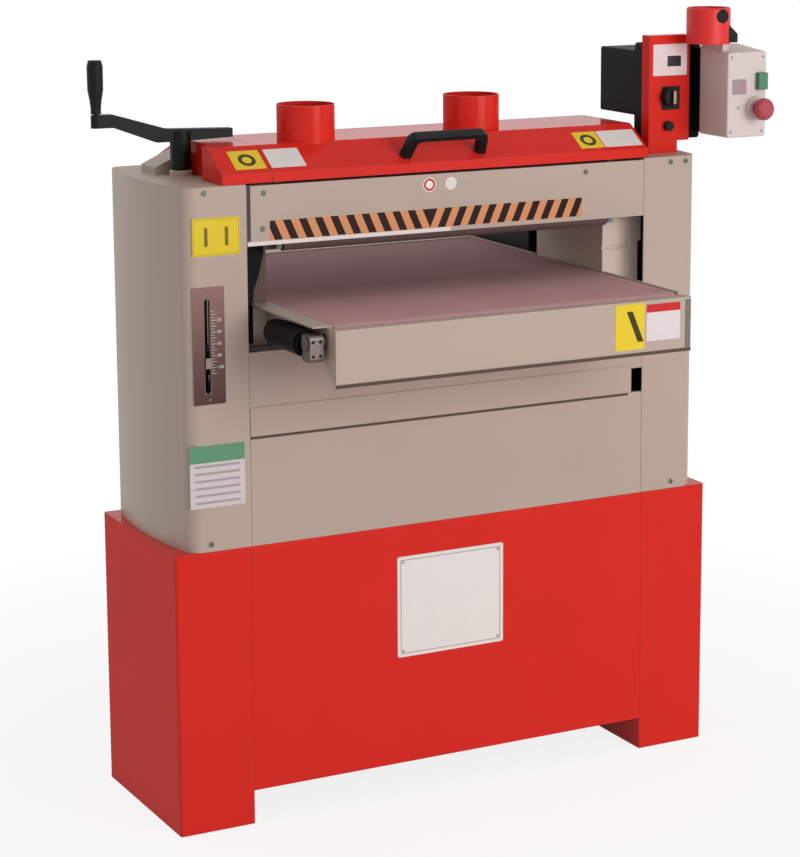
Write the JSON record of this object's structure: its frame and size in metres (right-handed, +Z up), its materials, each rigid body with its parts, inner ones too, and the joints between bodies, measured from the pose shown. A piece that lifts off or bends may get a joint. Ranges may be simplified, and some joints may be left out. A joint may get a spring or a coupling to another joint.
{
  "type": "drum sander",
  "caption": "Floor-standing thickness sander with drums under a hinged hood, a powered feed belt on a hand-cranked lifting table, dust outlets and a raised control post.",
  "frame": {"origin": "on the floor, under the middle of the stand", "axes": "+Z up, +X along the drums towards the control post, +Y the way the work is fed"},
  "size_m": [1.2175, 0.82, 1.382],
  "materials": {
    "red_paint": "gloss",
    "beige_paint": "satin",
    "frame_paint": "satin",
    "cast_iron": "matte",
    "drum_alloy": "satin",
    "abrasive": "matte",
    "steel": "satin",
    "motor_alloy": "satin",
    "black_steel": "satin",
    "black_plastic": "matte",
    "belt_rubber": "matte",
    "feed_cloth": "matte",
    "grey_plastic": "satin",
    "inlet_plastic": "gloss",
    "green_plastic": "gloss",
    "stop_plastic": "gloss"
  },
  "bodies": {
    "frame": {"base_front_panel": "red_paint", "base_left_leg": "red_paint", "base_rear_panel": "red_paint", "base_right_leg": "red_paint", "base_top_plate": "red_paint", "motor_shelf": "frame_paint", "main_motor": "motor_alloy", "left_cover": "beige_paint", "right_cover": "beige_paint", "left_side_frame": "frame_paint", "right_side_frame": "frame_paint", "left_bearing_bridge": "cast_iron", "right_bearing_bridge": "cast_iron", "drum_belt": "belt_rubber", "upper_front_panel": "beige_paint", "upper_rear_panel": "beige_paint", "lower_front_panel": "beige_paint", "lower_rear_panel": "beige_paint", "throat_panel": "beige_paint", "left_guide": "steel", "right_guide": "steel", "lift_chain": "steel", "hood_end": "red_paint", "control_post": "red_paint", "controller_box": "black_plastic", "switch_box": "grey_plastic", "power_inlet": "inlet_plastic"},
    "table": {"table_frame": "frame_paint", "feed_belt": "feed_cloth", "lift_frame": "frame_paint", "infeed_cover": "beige_paint", "outfeed_cover": "beige_paint", "feed_motor": "black_steel", "feed_gearbox": "motor_alloy", "depth_pointer": "steel"},
    "left_screw": {"left_lift_screw": "steel", "crank_arm": "black_steel"},
    "right_screw": {"right_lift_screw": "steel"},
    "crank_grip": {"crank_grip": "black_plastic"},
    "front_drum": {"front_drum": "drum_alloy", "front_abrasive": "abrasive", "front_drum_pulley": "cast_iron"},
    "rear_drum": {"rear_drum": "drum_alloy", "rear_abrasive": "abrasive", "rear_drum_pulley": "cast_iron"},
    "motor_rotor": {"motor_pulley": "cast_iron"},
    "drive_roller": {"drive_roller": "steel"},
    "idler_roller": {"idler_roller": "steel"},
    "infeed_press": {"infeed_press_carrier": "frame_paint"},
    "outfeed_press": {"outfeed_press_carrier": "frame_paint"},
    "infeed_press_roller": {"infeed_press_roller": "black_steel"},
    "outfeed_press_roller": {"outfeed_press_roller": "black_steel"},
    "lid": {"hood_lid": "red_paint", "left_dust_port": "red_paint", "right_dust_port": "red_paint", "hood_handle": "black_plastic"},
    "speed_knob": {"speed_knob": "black_plastic"},
    "start_button": {"start_button": "green_plastic"},
    "stop_button": {"stop_button": "stop_plastic"},
    "post_button": {"post_button": "black_plastic"}
  },
  "joints": [
    {"name": "crank_turn", "type": "hinge", "parent": "frame", "child": "left_screw", "pos_m": [-0.436, 0, 1.1], "axis": [0, 0, -1], "range_deg": [-1080, 8100]},
    {"name": "table_lift", "type": "slide", "parent": "frame", "child": "table", "axis": [0, 0, 1], "range_m": [-0.012, 0.09]},
    {"name": "right_screw_turn", "type": "hinge", "parent": "frame", "child": "right_screw", "pos_m": [0.447, 0, 0.8], "axis": [0, 0, -1], "range_deg": [-1080.5, 8100.5]},
    {"name": "grip_spin", "type": "hinge", "parent": "left_screw", "child": "crank_grip", "pos_m": [-0.586, 0, 1.27], "axis": [0, 0, 1], "continuous": true},
    {"name": "front_drum_spin", "type": "hinge", "parent": "frame", "child": "front_drum", "pos_m": [0, -0.075, 1.062], "axis": [1, 0, 0], "continuous": true},
    {"name": "rear_drum_spin", "type": "hinge", "parent": "frame", "child": "rear_drum", "pos_m": [0, 0.075, 1.062], "axis": [1, 0, 0], "continuous": true},
    {"name": "motor_spin", "type": "hinge", "parent": "frame", "child": "motor_rotor", "pos_m": [0, 0, 0.266], "axis": [1, 0, 0], "continuous": true},
    {"name": "drive_roller_spin", "type": "hinge", "parent": "table", "child": "drive_roller", "pos_m": [0, -0.362, 0.8797], "axis": [1, 0, 0], "continuous": true},
    {"name": "idler_roller_spin", "type": "hinge", "parent": "table", "child": "idler_roller", "pos_m": [0, 0.362, 0.8797], "axis": [1, 0, 0], "continuous": true},
    {"name": "infeed_press_lift", "type": "slide", "parent": "frame", "child": "infeed_press", "axis": [0, 0, 1], "range_m": [0, 0.004], "stiffness_N_per_m": 8000, "springref_m": -0.006},
    {"name": "outfeed_press_lift", "type": "slide", "parent": "frame", "child": "outfeed_press", "axis": [0, 0, 1], "range_m": [0, 0.004], "stiffness_N_per_m": 8000, "springref_m": -0.006},
    {"name": "infeed_roller_spin", "type": "hinge", "parent": "infeed_press", "child": "infeed_press_roller", "pos_m": [0, -0.15, 1.0095], "axis": [1, 0, 0], "continuous": true},
    {"name": "outfeed_roller_spin", "type": "hinge", "parent": "outfeed_press", "child": "outfeed_press_roller", "pos_m": [0, 0.15, 1.0095], "axis": [1, 0, 0], "continuous": true},
    {"name": "lid_swing", "type": "hinge", "parent": "frame", "child": "lid", "pos_m": [0, 0.177, 1.12], "axis": [-1, 0, 0], "range_deg": [0, 75]},
    {"name": "speed_knob_turn", "type": "hinge", "parent": "frame", "child": "speed_knob", "pos_m": [0.47, -0.12, 1.219], "axis": [0, 1, 0], "range_deg": [-135, 135]},
    {"name": "start_press", "type": "slide", "parent": "frame", "child": "start_button", "axis": [0, 1, 0], "range_m": [0, 0.004], "stiffness_N_per_m": 500, "springref_m": -0.001},
    {"name": "stop_press", "type": "slide", "parent": "frame", "child": "stop_button", "axis": [0, 1, 0], "range_m": [0, 0.006], "stiffness_N_per_m": 600, "springref_m": -0.001},
    {"name": "post_press", "type": "slide", "parent": "frame", "child": "post_button", "axis": [0, 1, 0], "range_m": [0, 0.003], "stiffness_N_per_m": 400, "springref_m": -0.001}
  ],
  "couplings": [
    {"joint": "table_lift", "follows": "crank_turn", "m_per_rad": 0.00063661},
    {"joint": "right_screw_turn", "follows": "crank_turn", "ratio": 1},
    {"joint": "rear_drum_spin", "follows": "front_drum_spin", "ratio": 1},
    {"joint": "motor_spin", "follows": "front_drum_spin", "ratio": 0.81818},
    {"joint": "idler_roller_spin", "follows": "drive_roller_spin", "ratio": 1}
  ]
}
